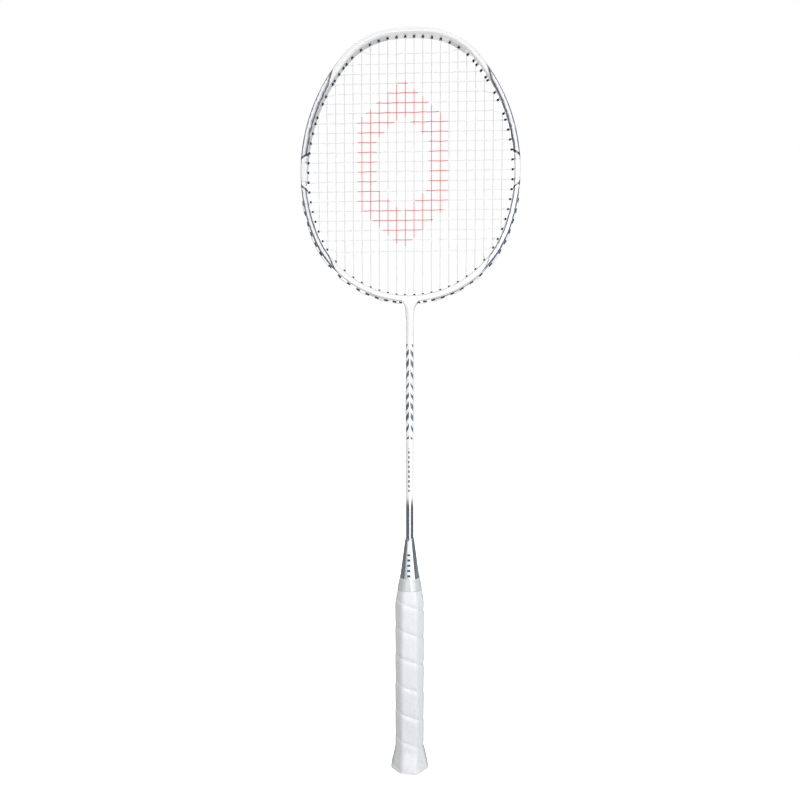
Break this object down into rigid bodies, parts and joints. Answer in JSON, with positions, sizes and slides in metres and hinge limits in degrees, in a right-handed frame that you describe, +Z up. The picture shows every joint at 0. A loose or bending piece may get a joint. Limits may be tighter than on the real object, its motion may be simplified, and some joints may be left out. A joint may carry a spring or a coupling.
{
  "type": "badminton racket",
  "caption": "Strung racket with an isometric oval hoop, slim round shaft, faceted cone cap and an octagonal handle wound with a pale grip that flares at the butt.",
  "frame": {"origin": "centre of the butt's end face, on the handle's axis", "axes": "+Z up the handle and shaft to the crown of the hoop, +X across the face of the strings, -Y out of the front face; the strings lie in the XZ plane"},
  "size_m": [0.2008, 0.029, 0.675],
  "materials": {
    "frame_hoop": "gloss pearl white paint over carbon composite, with silver streaks on the shoulders",
    "t_joint": "plain, sealed inside the throat",
    "shaft": "gloss white paint fading to metallic silver at the cone",
    "grommets": "moulded dark navy nylon",
    "strings": "smooth white nylon with a red stencil in the middle of the bed",
    "handle_core": "bare",
    "cone_cap": "metallic silver paint",
    "grip_staple": "plain wire",
    "butt_cap": "moulded",
    "butt_plate": "plain silver plate",
    "grip": "off-white synthetic leather with small perforations, wound in a spiral",
    "finishing_tape": "thin gloss film"
  },
  "bodies": {
    "root": {"frame_hoop": "frame_hoop", "t_joint": "t_joint", "shaft": "shaft", "grommet_strip_top": "grommets", "grommet_strip_left": "grommets", "grommet_strip_right": "grommets", "single_grommets_left": "grommets", "single_grommets_right": "grommets", "main_string": "strings", "cross_string": "strings", "string_knots": "strings", "handle_core": "handle_core", "cone_cap": "cone_cap", "grip_staple": "grip_staple", "butt_cap": "butt_cap", "butt_plate": "butt_plate", "grip": "grip", "finishing_tape": "finishing_tape"}
  },
  "joints": []
}
